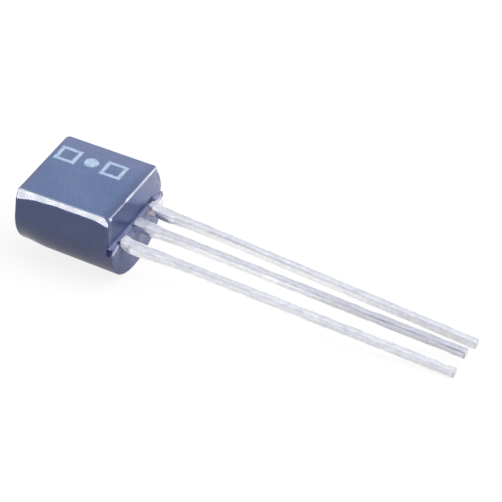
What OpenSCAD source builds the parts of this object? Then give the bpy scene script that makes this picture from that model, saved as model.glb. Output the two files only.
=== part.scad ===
// Three-lead moulded transistor in a D-shaped case, lying on its round back and its lead tips.
// Millimetres. Every piece is drawn in the case's own frame, with X along the leads, Z towards the
// flat face and z = 0 where the two mould halves meet. rest() then lays the part on the plane z = 0.

/* [Case] */
// Length of the flat-sided half where the mould halves meet
case_len = 4.15; // [3.8:0.01:4.8]
// Width of the case where the mould halves meet
case_w = 4.4; // [4.1:0.01:5.2]
// Height of the flat face above the meeting plane
flat_h = 1.29; // [1.0:0.01:1.5]
// Width of the flat face between its two bevels
flat_w = 4.01; // [3.6:0.01:4.2]
// Height of the bevel along each long edge of the flat face
bevel_h = 0.3; // [0.2:0.01:0.6]
// Draft of the side walls of the flat-sided half, in degrees
side_draft = 4.4; // [0:0.1:6]
// Draft of the end walls of the flat-sided half, in degrees
end_draft = 2.2; // [0:0.1:7]
// Radius of the flat-sided half's upright corners on the collector lead's side
corner_r = 0.17; // [0.05:0.01:0.3]
// Radius of the same half's sharper upright corners on the emitter lead's side
near_corner_r = 0.06; // [0.03:0.01:0.3]
// Radius of all four corners where the mould halves meet
foot_corner_r = 0.05; // [0.02:0.01:0.3]
// Radius of the edge between the flat face and the end walls
edge_r = 0.07; // [0.02:0.01:0.15]
// Slope of the round back along the leads, in degrees
back_slope = 1.7; // [0:0.1:3]
// Radius of the edge between the round back and its end walls
back_edge_r = 0.1; // [0.03:0.01:0.2]

/* [Lead end] */
// How far the round half stands out past the flat-sided half at the lead end
ledge = 0.2; // [0.1:0.01:0.3]
// How far the band between the mould halves stands out at the lead end, at its top
band_out = 0.12; // [0.04:0.01:0.18]
// Width of the open notch at the end of that band beside the emitter lead
emitter_notch_w = 0.14; // [0.04:0.01:0.25]
// Width of the open notch at its other end, beside the collector lead
collector_notch_w = 0.06; // [0.04:0.01:0.25]
// Depth of those notches behind the flat-sided half's end wall
notch_depth = 0.12; // [0.04:0.01:0.2]

/* [Leads] */
// Distance between the centres of neighbouring leads
pitch = 1.27; // [1.15:0.01:1.39]
// Thickness of the lead strip
lead_t = 0.38; // [0.35:0.01:0.5]
// Width of a lead over most of its length
leg_w = 0.41; // [0.38:0.01:0.48]
// Width of a lead close to the case
root_w = 0.53; // [0.49:0.01:0.6]
// Length of the wide stretch close to the case
root_len = 0.8; // [0.5:0.05:1.5]
// Length over which the wide stretch narrows
shoulder_len = 0.25; // [0.1:0.05:0.5]
// Length of each lead outside the case
lead_len = 14.2; // [12.7:0.1:15]
// Radius of a lead's long edges
lead_edge_r = 0.13; // [0.06:0.01:0.16]
// Radius of the edge round a lead's cut end
tip_r = 0.05; // [0.02:0.01:0.05]
// Downward bend of the two outer leads at the case, in degrees
outer_droop = 3.7; // [0:0.05:5]
// Downward bend of the middle lead at the case, in degrees
middle_droop = 2.5; // [0:0.05:5]
// Sideways bend of the emitter lead towards the middle, in degrees
emitter_splay = 1.3; // [-1:0.1:2]
// Sideways bend of the middle lead towards the collector lead, in degrees
base_splay = 0; // [-1:0.1:1]
// Sideways bend of the collector lead towards the middle, in degrees
collector_splay = 0.7; // [-1:0.1:2]

/* [Inside] */
// Length of the pad that carries the die
paddle_len = 1.6; // [1.2:0.05:1.8]
// Width of the pad that carries the die
paddle_w = 1.95; // [1.8:0.05:2.05]
// Distance from the case's closed end to the die pad
paddle_setback = 0.75; // [0.5:0.05:1.0]
// Gap between the die pad and each of the other two leads
paddle_gap = 0.3; // [0.2:0.01:0.4]
// Length of the wire pads on the emitter and base leads
post_len = 0.6; // [0.45:0.05:0.7]
// Width of the wire pad on the base lead
base_post_w = 0.9; // [0.6:0.05:1.1]
// Side of the square die
die_side = 0.5; // [0.35:0.01:0.7]
// Thickness of the die
die_t = 0.2; // [0.12:0.01:0.3]
// Thickness of the layer that holds the die to its pad
attach_t = 0.03; // [0.02:0.005:0.05]
// Rim of that layer around the die
attach_rim = 0.03; // [0.01:0.01:0.08]
// Diameter of the bond wires
wire_d = 0.03; // [0.02:0.005:0.04]
// Height of the wire loops above the die
wire_rise = 0.22; // [0.12:0.01:0.4]
// Diameter of the flattened bond at each wire end
bond_d = 0.09; // [0.06:0.01:0.12]
// Height of those bonds
bond_h = 0.025; // [0.01:0.005:0.04]

/* [Hidden] */

plate_t = 0.001;
arc_steps = 4;
corner_fn = 32;
over = 0.5;
wire_sides = 8;
wire_rings = 14;
bond_fn = 12;

// Heights and ends of the case
bevel_z = flat_h - bevel_h;
half_len = case_len / 2;
half_w = case_w / 2;
back_r = half_w;
lead_face = half_len + ledge;
lead_side = pitch + root_w / 2;
lead_z = -lead_t / 2;
round_len = case_len + ledge;

// Where each lead turns out of the case, and where the neck that stays straight ends
neck_out = 0.06;
bend_x = lead_face + 2 * neck_out / 3;

// Places of the die pad, the wire pads and the die
paddle_x0 = -half_len + paddle_setback;
paddle_x1 = paddle_x0 + paddle_len;
paddle_y1 = lead_side;
paddle_y0 = paddle_y1 - paddle_w;
base_post_x0 = paddle_x1 + paddle_gap;
emitter_post_y1 = paddle_y0 - paddle_gap;
emitter_post_y0 = -lead_side;
emitter_post_x0 = paddle_x1 - post_len;
die_x = paddle_x1 - die_side;
die_y = paddle_y0 + die_side;
die_top = attach_t + die_t;
bond_inset = die_side / 4;

// The part rests on the lower edge of the round half's lead end and on the tips of the outer leads.
// In the X-Z plane both edges are small circles, about foot and about tip, and the table is the
// line that touches the two from below.
foot_drop = back_r - back_edge_r;
foot = [lead_face - back_edge_r * cos(back_slope) - foot_drop * sin(back_slope),
        back_edge_r * sin(back_slope) - foot_drop * cos(back_slope)];
tip_reach = lead_len - (bend_x - lead_face);
tip_along = tip_reach - tip_r;
tip_drop = lead_t / 2 - tip_r;
tip = [bend_x + tip_along * cos(outer_droop) - tip_drop * sin(outer_droop),
       lead_z - tip_along * sin(outer_droop) - tip_drop * cos(outer_droop)];
rest_span = norm(tip - foot);
rest_tilt = atan2(tip[1] - foot[1], tip[0] - foot[0]) + asin((back_edge_r - tip_r) / rest_span);
rest_lift = back_edge_r - (foot[0] * -sin(rest_tilt) + foot[1] * cos(rest_tilt));
rest_back = -half_len * cos(rest_tilt) - back_r * sin(rest_tilt);
rest_front = (tip[0] + tip_r) * cos(rest_tilt) + (tip[1] + lead_t) * sin(rest_tilt);
rest_shift = -(rest_back + rest_front) / 2;

// Lays what is drawn in the case's frame on the plane z = 0, centred over the origin.
module rest() {
    translate([rest_shift, 0, rest_lift]) rotate([0, rest_tilt, 0]) children();
}

// ---- case ----

// Half width of the flat-sided half at height z.
function wall_y(z) =
    z > bevel_z
        ? flat_w / 2 + (flat_h - z) * (wall_y(bevel_z) - flat_w / 2) / bevel_h
        : half_w - z * tan(side_draft);

// Half length of the flat-sided half at height z.
function wall_x(z) = half_len - z * tan(end_draft);

// Thin plate whose top lies at height z, with corners of radius far on the collector lead's side
// and near on the other.
module level(z, x, y, far, near) {
    for (sx = [-1, 1], sy = [-1, 1]) {
        r = sy > 0 ? far : near;
        translate([sx * (x - r), sy * (y - r), z - plate_t])
            cylinder(r = r, h = plate_t, $fn = corner_fn);
    }
}

// Flat-sided half: drafted walls, bevels along the long edges and rounded short edges.
module flat_half() {
    hull() {
        level(plate_t, wall_x(0), wall_y(0), foot_corner_r, foot_corner_r);
        level(bevel_z, wall_x(bevel_z), wall_y(bevel_z), corner_r, near_corner_r);
        for (i = [0 : arc_steps]) {
            a = 90 * i / arc_steps;
            z = flat_h - edge_r * (1 - sin(a));
            level(z, wall_x(z) - edge_r * (1 - cos(a)), wall_y(z), corner_r, near_corner_r);
        }
    }
}

// Half outline of the round back: radius across, length up, with both edges rounded.
module back_outline() {
    square([back_r - back_edge_r, round_len]);
    translate([0, back_edge_r]) square([back_r, round_len - 2 * back_edge_r]);
    for (y = [back_edge_r, round_len - back_edge_r])
        translate([back_r - back_edge_r, y]) circle(r = back_edge_r, $fn = corner_fn);
}

// Round half: a turned barrel whose axis slopes up towards the closed end, cut at the meeting plane.
module round_half() {
    intersection() {
        translate([lead_face, 0, 0]) rotate([0, back_slope - 90, 0])
            rotate_extrude($fn = 4 * corner_fn) back_outline();
        translate([-case_len, -case_w, -case_w]) cube([2 * case_len, 2 * case_w, case_w]);
    }
}

// Open notch of width w at the band's end beside the wall at y.
module notch(y, w) {
    translate([half_len - notch_depth, y - w, -lead_t]) cube([over, 2 * w, lead_t]);
}

// Clears the round half back to the band, over the thickness of the lead strip: upright beside the
// outer leads, and sloping out to the lead face between them.
module band_step() {
    band_x = half_len + band_out;
    clear_x = lead_face + over;
    for (y = [-lead_side - case_w, lead_side])
        translate([band_x, y, -lead_t]) cube([over, case_w, lead_t]);
    rotate([90, 0, 0]) linear_extrude(2 * lead_side, center = true)
        polygon([[band_x, 0], [lead_face, -lead_t], [clear_x, -lead_t], [clear_x, 0]]);
}

module case() {
    color([0.30, 0.34, 0.47]) difference() {
        union() {
            flat_half();
            difference() {
                round_half();
                band_step();
            }
        }
        notch(-half_w, emitter_notch_w);
        notch(half_w, collector_notch_w);
        emitter_frame(over);
        base_frame(over);
        collector_frame(over);
        die_attach();
        die();
        base_wire();
        emitter_wire();
    }
}

// ---- leads ----

// Flat strip of the lead frame from x0 to x1 and from y0 to y1, under the meeting plane.
module strip(x0, x1, y0, y1) {
    translate([x0, y0, -lead_t]) cube([x1 - x0, y1 - y0, lead_t]);
}

// The straight part of a lead, from x0 out through the case wall by the length out.
module neck(x0, y, out) {
    strip(x0, lead_face + out, y - root_w / 2, y + root_w / 2);
}

module emitter_frame(out) {
    neck(emitter_post_x0, -pitch, out);
    strip(emitter_post_x0, emitter_post_x0 + post_len, emitter_post_y0, emitter_post_y1);
}

module base_frame(out) {
    neck(base_post_x0, 0, out);
    strip(base_post_x0, base_post_x0 + post_len, -base_post_w / 2, base_post_w / 2);
}

module collector_frame(out) {
    neck(paddle_x0, pitch, out);
    strip(paddle_x0, paddle_x1, paddle_y0, paddle_y1);
}

// Lead section of width w with rounded edges, drawn in by inset all round, as a bar of length len
// along X.
module bar(w, len, inset = 0) {
    r = lead_edge_r - inset;
    flat_y = w - 2 * lead_edge_r;
    flat_z = lead_t - 2 * lead_edge_r;
    rotate([90, 0, 90]) linear_extrude(len) {
        square([flat_y, flat_z + 2 * r], center = true);
        square([flat_y + 2 * r, flat_z], center = true);
        for (sx = [-1, 1], sy = [-1, 1])
            translate([sx * flat_y / 2, sy * flat_z / 2]) circle(r = r, $fn = corner_fn);
    }
}

// The cut end of a lead, with a rounded edge, up to x.
module cut_end(x) {
    hull() {
        for (i = [0 : arc_steps]) {
            a = 90 * i / arc_steps;
            translate([x - plate_t - tip_r * (1 - sin(a)), 0, 0])
                bar(leg_w, plate_t, tip_r * (1 - cos(a)));
        }
    }
}

// The free part of a lead: wide at the case, a shoulder, then the long leg.
module free_lead(y, droop, splay) {
    leg_x = root_len + shoulder_len;
    translate([bend_x, y, lead_z]) rotate([0, droop, splay]) {
        bar(root_w, root_len);
        hull() {
            translate([root_len - plate_t, 0, 0]) bar(root_w, plate_t);
            translate([leg_x, 0, 0]) bar(leg_w, plate_t);
        }
        translate([leg_x, 0, 0]) bar(leg_w, tip_along - leg_x);
        cut_end(tip_reach);
    }
}

module emitter_lead() {
    color([0.86, 0.87, 0.89]) {
        emitter_frame(neck_out);
        free_lead(-pitch, outer_droop, emitter_splay);
    }
}

module base_lead() {
    color([0.80, 0.81, 0.84]) {
        base_frame(neck_out);
        free_lead(0, middle_droop, base_splay);
    }
}

module collector_lead() {
    color([0.84, 0.85, 0.87]) {
        collector_frame(neck_out);
        free_lead(pitch, outer_droop, -collector_splay);
    }
}

// ---- die and wires ----

module die_attach() {
    side = die_side + 2 * attach_rim;
    color([0.72, 0.70, 0.66])
        translate([die_x - side / 2, die_y - side / 2, 0]) cube([side, side, attach_t]);
}

module die() {
    color([0.35, 0.36, 0.40])
        translate([die_x - die_side / 2, die_y - die_side / 2, attach_t])
            cube([die_side, die_side, die_t]);
}

// Point at share t of a wire loop from a to b: it leaves and meets both ends upright.
function loop_point(a, b, rise, t) =
    a + (b - a) * (1 - cos(180 * t)) / 2 + [0, 0, rise * sin(180 * t)];

function loop_slope(a, b, rise, t) = (b - a) * sin(180 * t) / 2 + [0, 0, rise * cos(180 * t)];

function unit(v) = v / norm(v);

// Ring of the wire's surface around one point of its loop.
function loop_ring(a, b, rise, t) =
    let (side = unit(cross([0, 0, 1], b - a)), up = cross(unit(loop_slope(a, b, rise, t)), side))
    [for (k = [0 : wire_sides - 1])
        loop_point(a, b, rise, t)
            + wire_d / 2 * (cos(360 * k / wire_sides) * side + sin(360 * k / wire_sides) * up)];

// Bond wire from a to b, with a flattened bond at each end.
module wire(a, b) {
    last = wire_rings - 1;
    rise = wire_rise + max(a[2], b[2]) - min(a[2], b[2]);
    points = [for (i = [0 : last]) each loop_ring(a, b, rise, i / last)];
    walls = [for (i = [0 : last - 1], k = [0 : wire_sides - 1])
        let (n = (k + 1) % wire_sides, r = i * wire_sides)
        [r + k, r + n, r + wire_sides + n, r + wire_sides + k]];
    foot_cap = [[for (k = [wire_sides - 1 : -1 : 0]) k]];
    end_cap = [[for (k = [0 : wire_sides - 1]) last * wire_sides + k]];
    polyhedron(points, concat(walls, foot_cap, end_cap));
    for (p = [a, b])
        translate(p) cylinder(d = bond_d, h = bond_h, $fn = bond_fn);
}

module base_wire() {
    color([0.85, 0.68, 0.30])
        wire([die_x + bond_inset, die_y + bond_inset, die_top],
             [base_post_x0 + post_len / 2, 0, 0]);
}

module emitter_wire() {
    color([0.85, 0.68, 0.30])
        wire([die_x - bond_inset, die_y - bond_inset, die_top],
             [emitter_post_x0 + post_len / 2, (emitter_post_y0 + emitter_post_y1) / 2, 0]);
}

rest() case();
rest() emitter_lead();
rest() base_lead();
rest() collector_lead();
rest() die_attach();
rest() die();
rest() base_wire();
rest() emitter_wire();
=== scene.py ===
"""Moulded three-lead transistor: the look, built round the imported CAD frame.

The case and the leads are drawn again here as fine meshes in the CAD's places. Lengths are in
millimetres and in the case's own frame, as in the part's source: X along the leads, Y across
them, Z towards the flat face, z = 0 where the mould halves meet. place() turns them into the row
frame, in metres. The near side is the one at -Y, the lead end is at +X, the back end at -X.
"""
import math

import bpy
import numpy as np
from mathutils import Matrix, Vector

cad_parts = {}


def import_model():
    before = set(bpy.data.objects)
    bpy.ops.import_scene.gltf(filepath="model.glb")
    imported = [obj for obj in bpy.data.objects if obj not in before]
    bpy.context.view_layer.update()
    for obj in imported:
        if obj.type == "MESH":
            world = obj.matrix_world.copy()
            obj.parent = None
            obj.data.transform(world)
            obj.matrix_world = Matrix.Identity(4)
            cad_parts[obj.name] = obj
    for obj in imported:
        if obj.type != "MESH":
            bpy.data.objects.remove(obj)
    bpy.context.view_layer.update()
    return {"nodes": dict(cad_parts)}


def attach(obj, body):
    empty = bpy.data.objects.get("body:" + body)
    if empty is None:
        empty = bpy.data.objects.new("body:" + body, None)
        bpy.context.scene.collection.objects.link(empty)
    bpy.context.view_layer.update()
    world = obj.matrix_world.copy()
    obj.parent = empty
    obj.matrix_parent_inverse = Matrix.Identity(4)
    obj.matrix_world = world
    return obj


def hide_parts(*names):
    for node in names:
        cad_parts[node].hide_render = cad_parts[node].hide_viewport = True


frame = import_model()

MM = 0.001

# The CAD's own sizes, in millimetres, and its angles.
CASE_LEN, CASE_W = 4.15, 4.4
FLAT_H, FLAT_W, BEVEL_H = 1.29, 4.01, 0.3
SIDE_DRAFT, END_DRAFT = math.radians(4.4), math.radians(2.2)
CORNER_R, FOOT_CORNER_R, EDGE_R = 0.17, 0.05, 0.07
BACK_SLOPE, BACK_EDGE_R = math.radians(1.7), 0.1
LEDGE, BAND_OUT = 0.2, 0.12
NOTCH_DEPTH, NEAR_NOTCH_W, FAR_NOTCH_W = 0.12, 0.14, 0.06
PITCH, LEAD_T, LEG_W, ROOT_W = 1.27, 0.38, 0.41, 0.53
ROOT_LEN, SHOULDER_LEN, LEAD_LEN, LEAD_EDGE_R = 0.8, 0.25, 14.2, 0.13
REST_TILT, REST_LIFT, REST_SHIFT = math.radians(3.63166), 2.32573, -7.06944
# The wire pads and the die pad inside the case: x from, x to, y from, y to.
EMITTER_PAD = (-0.325, 0.275, -1.535, -0.715)
BASE_PAD = (0.575, 1.175, -0.45, 0.45)
DIE_PAD = (-1.325, 0.275, -0.415, 1.535)

HALF_LEN, HALF_W = CASE_LEN / 2, CASE_W / 2
HALF_ROOT = ROOT_W / 2
LEAD_FACE = HALF_LEN + LEDGE  # where the leads leave the case
BAND_X = HALF_LEN + BAND_OUT  # the outer leads' ledges reach this far
ROUND_LEN = CASE_LEN + LEDGE
BEVEL_Z = FLAT_H - BEVEL_H
BEND_X = LEAD_FACE + 0.04

# What the fine meshes add to the CAD's form.
INSIDE = 0.0005  # the visual case stays this far inside the CAD's box and above the floor
FLAT_INSIDE = 0.0016
POCKET_GAP = 0.008
FLASH_STEP = 0.02  # the flat-sided half's back end lies this far inside the round half's
NEAR_CORNER_R = 0.03  # the two corners nearest the viewer are sharper than the far ones
CORNER_TOP_R = 0.25  # more rounding at the top of the near corner over the leads
WALL_SWELL = 0.03  # bulge of the far wall
LEAD_END_DIP, BACK_END_DIP = 0.03, 0.055  # the wall stands out under the bevel's dipping ends
BEVEL_LOWER, BEVEL_UNEVEN = 0.006, 0.005  # of the bevel's lower edge
TORN_FROM, TORN_OUT, TORN_ROUGH = 1.7, 0.055, 0.012  # the far corner over the leads is uneven
SQUARENESS, SQUARE_FADE = 0.035, 1.8  # of the round back, and how it goes at the back end
STEP_FOOT = -LEAD_T + 0.02
STEP_Y, STEP_RISE = -2.08, 0.36  # from here inwards the near step's foot rises, per millimetre
TIP_WEAR = 0.045  # of the band's far end
NEAR_NOTCH_LEN, NEAR_NOTCH_TOP, FAR_NOTCH_TOP = 0.15, -0.05, -0.22
FINE_R, JOIN_R, SOFT_R = 0.012, 0.015, 0.02  # edges that the CAD leaves sharp
# Small voids where the moulding didn't close round the lead roots: (centre, radii).
VOIDS = (((2.22, -1.58, -0.06), (0.07, 0.07, 0.1)), ((2.24, -0.33, -0.06), (0.12, 0.07, 0.07)),
         ((2.08, 1.36, 0.07), (0.06, 0.22, 0.09)), ((2.14, 1.53, 0.03), (0.09, 0.08, 0.07)))
PAST = 9  # well outside the case in any direction
WHITE = (1.0, 1.0, 1.0)


def place(points):
    """Points of the case's frame, in millimetres, as points of the row frame, in metres."""
    p = np.asarray(points, float)
    c, s = math.cos(REST_TILT), math.sin(REST_TILT)
    x, y, z = p[..., 0], p[..., 1], p[..., 2]
    return np.stack([c * x + s * z + REST_SHIFT, y, c * z - s * x + REST_LIFT], -1) * MM


def turn(vectors):
    """Directions of the case's frame in the row frame."""
    v = np.asarray(vectors, float)
    c, s = math.cos(REST_TILT), math.sin(REST_TILT)
    return np.stack([c * v[..., 0] + s * v[..., 2], v[..., 1], c * v[..., 2] - s * v[..., 0]], -1)


# ---- the case as a distance field ----

def meet(a, b, r):
    """Intersection of two solids given by distance, with the edge between them rounded by r."""
    return np.minimum(np.maximum(a, b), -r) + np.hypot(np.maximum(a + r, 0), np.maximum(b + r, 0))


def cut(a, b, r):
    """a less b, with rounded edges."""
    return meet(a, -b, r)


def join(a, b, r):
    """Union of two solids, with the corner between them filled by r."""
    return -meet(-a, -b, r)


def ease(t):
    """Smooth step: 0 up to t = 0, 1 from t = 1."""
    t = np.clip(t, 0, 1)
    return t * t * (3 - 2 * t)


def block(x, y, z, low, high):
    """Distance to an upright block from low to high."""
    d = [np.maximum(low[i] - v, v - high[i]) for i, v in enumerate((x, y, z))]
    outside = np.sqrt(sum(np.maximum(q, 0) ** 2 for q in d))
    return outside + np.minimum(np.maximum(np.maximum(d[0], d[1]), d[2]), 0)


def ball(x, y, z, centre, radii):
    """About the distance to an ellipsoid."""
    k = np.sqrt(sum(((v - c) / r) ** 2 for v, c, r in zip((x, y, z), centre, radii)))
    return (k - 1) * min(radii)


def wave(x, y, z, scale, seed):
    """Smooth, seeded unevenness between about -1 and 1, with features of about that size."""
    rng = np.random.default_rng(seed)
    total = np.zeros(np.broadcast(x, y, z).shape)
    terms = 7
    for _ in range(terms):
        k = rng.normal(size=3)
        k *= 2 * math.pi / scale * rng.uniform(0.6, 1.6) / np.linalg.norm(k)
        total += np.sin(k[0] * x + k[1] * y + k[2] * z + rng.uniform(0, 6.3))
    return total / math.sqrt(terms)


def flat_side(x, y, z, high):
    """The drafted side walls and their bevels. high goes from 0 at the foot to 1 at the bevel."""
    side = (np.abs(y) - (HALF_W - z * math.tan(SIDE_DRAFT))) * math.cos(SIDE_DRAFT)
    # The far wall is slightly convex.
    side = side - WALL_SWELL * (y > 0) * np.clip(4 * high * (1 - high), 0, 1)
    # The bevel's lower edge is uneven and dips at both ends: the wall under it stands out there.
    dip = LEAD_END_DIP * ease((x - 1.2) / 0.75) + BACK_END_DIP * ease((-x - 0.9) / 1.1)
    side = side - high * (dip - BEVEL_LOWER + BEVEL_UNEVEN * wave(x, 0 * y, 0 * z, 0.8, 3))
    side = np.maximum(side, np.abs(y) - HALF_W + 2 * INSIDE)
    drop = HALF_W - BEVEL_Z * math.tan(SIDE_DRAFT) - FLAT_W / 2
    bevel = ((np.abs(y) - FLAT_W / 2) * BEVEL_H + (z - FLAT_H) * drop) / math.hypot(BEVEL_H, drop)
    return meet(side, bevel, SOFT_R)


def flat_end(x, y, z, high):
    """The drafted end walls. The far corner over the leads is uneven and stands out low down."""
    inset = FLASH_STEP * (1 - high) * (x < 0)
    end = (np.abs(x) - (HALF_LEN - inset - z * math.tan(END_DRAFT))) * math.cos(END_DRAFT)
    torn = ease((y - TORN_FROM) / 0.3) * ease((x - TORN_FROM) / 0.3)
    stands_out = TORN_OUT * ease((z + 0.03) / 0.11) * ease((0.8 - z) / 0.5)
    return end + torn * (TORN_ROUGH * wave(x, y, z, 0.42, 21) - stands_out)


def flat_half(x, y, z):
    """The mould's flat-sided half, above z = 0 and, to join the other half, a hair below."""
    high = np.clip(z / BEVEL_Z, 0, 1)
    side, end = flat_side(x, y, z, high), flat_end(x, y, z, high)
    # The near corner over the leads is rounded off at its top. The far one sharpens to its foot.
    near_r = NEAR_CORNER_R + CORNER_TOP_R * np.clip((z - BEVEL_Z) / BEVEL_H, 0, 1) ** 2 * (x > 0)
    far_r = CORNER_R * np.where(x > 0, ease((z - 0.25) / 0.8), 1)
    corner = FOOT_CORNER_R + (near_r + (far_r - near_r) * ease(y / 0.6) - FOOT_CORNER_R) * high
    walls = meet(side, end, np.maximum(corner, SOFT_R))
    at_end = np.clip((end - side) / 0.3 + 0.5, 0, 1)
    body = meet(walls, z - FLAT_H + FLAT_INSIDE, SOFT_R + (EDGE_R - SOFT_R) * at_end)
    return np.maximum(body, -z - SOFT_R)


def barrel(x, y, z):
    """The round half's barrel, on its sloping axis."""
    c, s = math.cos(BACK_SLOPE), math.sin(BACK_SLOPE)
    rx = x - LEAD_FACE
    along = -c * rx + s * z
    up = s * rx + c * z
    # It is very slightly squarer than a true circle, except at the back end.
    square = SQUARENESS * (2 * y * up / np.maximum(y * y + up * up, 0.01)) ** 2
    square = square * (1 - SQUARE_FADE * ease(-x - 0.9))
    ends = np.abs(along - ROUND_LEN / 2) - ROUND_LEN / 2
    return meet(np.hypot(y, up) - HALF_W - square, ends, BACK_EDGE_R * np.where(x > 0, 0.5, 1))


def step_foot(y):
    """Foot of the near step, which rises towards the near lead."""
    return STEP_FOOT + STEP_RISE * np.maximum(y - STEP_Y, 0)


def round_half(x, y, z):
    """The mould's round half, below z = 0, with its stepped and sloping lead end."""
    body = meet(barrel(x, y, z), z, FINE_R)
    # Beside the outer leads the end steps in at the leads' underside. Between them it slopes in.
    inner = PITCH + HALF_ROOT
    near_step = block(x, y, z, (BAND_X, -PAST, -LEAD_T), (PAST, -inner, 1))
    near_step = np.maximum(near_step, (step_foot(y) - z) / math.hypot(1, STEP_RISE))
    tip = TIP_WEAR * ease((y - 1.9) / 0.25) * ease(1.5 - np.abs(z + 0.15) / 0.08)
    far_step = block(x, y, z, (BAND_X + tip, inner, -LEAD_T), (PAST, PAST, 1))
    lean = (LEDGE - BAND_OUT) / LEAD_T
    slope_cut = ((BAND_X - lean * z) - x) / math.hypot(1, lean)
    slope_cut = np.maximum(slope_cut, -z - LEAD_T)
    return cut(cut(body, np.minimum(near_step, far_step), FINE_R), slope_cut, SOFT_R)


def case_field(x, y, z):
    """Distance to the case's surface, below zero inside."""
    body = join(flat_half(x, y, z), round_half(x, y, z), JOIN_R)
    body = np.maximum(body, np.abs(y) - HALF_W + INSIDE)
    # The band's notches: the near one narrows to its foot and the far one is short.
    size = np.clip((z + 0.44) / 0.38, 0, 1)
    near_notch = np.maximum(BAND_X - NEAR_NOTCH_LEN * size - x, y + HALF_W - NEAR_NOTCH_W * size)
    body = cut(body, np.maximum(near_notch, z - NEAR_NOTCH_TOP) * 0.9, JOIN_R)
    far_notch = block(x, y, z, (HALF_LEN - NOTCH_DEPTH / 4, HALF_W - FAR_NOTCH_W, -LEAD_T),
                      (PAST, PAST, FAR_NOTCH_TOP))
    body = cut(body, far_notch, JOIN_R)
    half = HALF_ROOT + POCKET_GAP
    for y0 in (-PITCH, 0, PITCH):
        pocket = block(x, y, z, (1.2, y0 - half, -LEAD_T - POCKET_GAP),
                       (PAST, y0 + half, POCKET_GAP))
        body = cut(body, pocket, 0.01)
    for centre, radii in VOIDS:
        body = cut(body, ball(x, y, z, centre, radii), 0.01)
    above_floor = z * math.cos(REST_TILT) - x * math.sin(REST_TILT) + REST_LIFT
    return np.maximum(body, INSIDE - above_floor)


# ---- from field to mesh ----

def lines(spans):
    """Grid lines from (start, end, step) spans, each span's end being the next one's start."""
    out = [spans[0][0]]
    for a, b, step in spans:
        n = max(1, round((b - a) / step))
        out += list(a + (b - a) * np.arange(1, n + 1) / n)
    return np.array(out)


def slope(field, p, e=0.002):
    """Unit gradient of a field at points p."""
    g = []
    for axis in range(3):
        step = np.zeros(3)
        step[axis] = e
        a, b = p + step, p - step
        g.append(field(a[:, 0], a[:, 1], a[:, 2]) - field(b[:, 0], b[:, 1], b[:, 2]))
    g = np.stack(g, -1)
    return g / np.maximum(np.linalg.norm(g, axis=1, keepdims=True), 1e-12)


def settle(field, points, passes=4, longest=0.02):
    """Points moved onto the field's surface, each time by no more than longest."""
    for _ in range(passes):
        value = field(points[:, 0], points[:, 1], points[:, 2])
        points = points - np.clip(value, -longest, longest)[:, None] * slope(field, points)
    return points


def net(field, xs, ys, zs):
    """Surface net of a field on a grid: (points, quads, outward normals).

    Each grid cell that the surface passes through gets one point, and each grid edge that it
    crosses gets one quad between the four cells round it.
    """
    grid = np.stack(np.meshgrid(xs, ys, zs, indexing="ij"), -1)
    f = field(grid[..., 0], grid[..., 1], grid[..., 2])
    inside = f < 0
    shape = np.array(f.shape) - 1
    total, count = np.zeros((*shape, 3)), np.zeros(shape)
    cell_id = np.arange(shape.prod()).reshape(shape)
    quads = []
    for axis in range(3):
        lo, hi = [slice(None)] * 3, [slice(None)] * 3
        lo[axis], hi[axis] = slice(0, -1), slice(1, None)
        lo, hi = tuple(lo), tuple(hi)
        crossed = inside[lo] != inside[hi]
        fa, fb = f[lo][crossed], f[hi][crossed]
        t = (fa / (fa - fb))[:, None]
        crossing = grid[lo][crossed] * (1 - t) + grid[hi][crossed] * t
        b, c = (axis + 1) % 3, (axis + 2) % 3
        ring = []
        for db, dc in ((0, 0), (-1, 0), (-1, -1), (0, -1)):
            cell = np.argwhere(crossed)
            cell[:, b] += db
            cell[:, c] += dc
            cell = tuple(cell.T)
            np.add.at(total, cell, crossing)
            np.add.at(count, cell, 1)
            ring.append(cell_id[cell])
        quad = np.stack(ring, 1)
        outward = ~inside[lo][crossed]
        quad[outward] = quad[outward][:, ::-1]
        quads.append(quad)
    used = count > 0
    new_id = np.full(shape.prod(), -1)
    new_id[cell_id[used]] = np.arange(used.sum())
    points = settle(field, total[used] / count[used][:, None])
    return points, new_id[np.concatenate(quads)], slope(field, points)


def add_object(name, data):
    o = bpy.data.objects.new(name, data)
    bpy.context.scene.collection.objects.link(o)
    return o


def add_mesh(name, points, faces, node, normals=None):
    """A smooth-shaded piece from points of the case's frame. It rides on the root body."""
    mesh = bpy.data.meshes.new(name)
    corners = [tuple(p) for p in place(points)]
    mesh.from_pydata(corners, [], [tuple(int(i) for i in face) for face in faces])
    mesh.validate()
    mesh.polygons.foreach_set("use_smooth", [True] * len(mesh.polygons))
    if normals is not None:
        mesh.normals_split_custom_set_from_vertices([tuple(n) for n in turn(normals)])
    piece = add_object(name, mesh)
    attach(piece, "root")
    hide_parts(node)
    return piece


def make_case():
    """The case's mesh, on a grid that is fine at the edges and round the lead end."""
    xs = lines([(-2.2, -2.13, 0.03), (-2.13, -1.85, 0.02), (-1.85, 1.86, 0.053),
                (1.86, 2.32, 0.018)])
    half_ys = lines([(0, 0.93, 0.04), (0.93, 1.62, 0.025), (1.62, 1.9, 0.04), (1.9, 2.24, 0.02)])
    ys = np.concatenate([-half_ys[:0:-1], half_ys])
    zs = lines([(-2.24, -0.46, 0.055), (-0.46, 0.06, 0.02), (0.06, 0.9, 0.05), (0.9, 1.06, 0.025),
                (1.06, 1.16, 0.04), (1.16, 1.32, 0.017)])
    off_x, off_y, off_z = 0.0031, 0.0017, 0.0023  # keeps the grid's lines off the flat faces
    points, quads, normals = net(case_field, xs + off_x, ys + off_y, zs + off_z)
    return add_mesh("case_shell", points, quads, "case", normals)


# ---- leads ----

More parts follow.
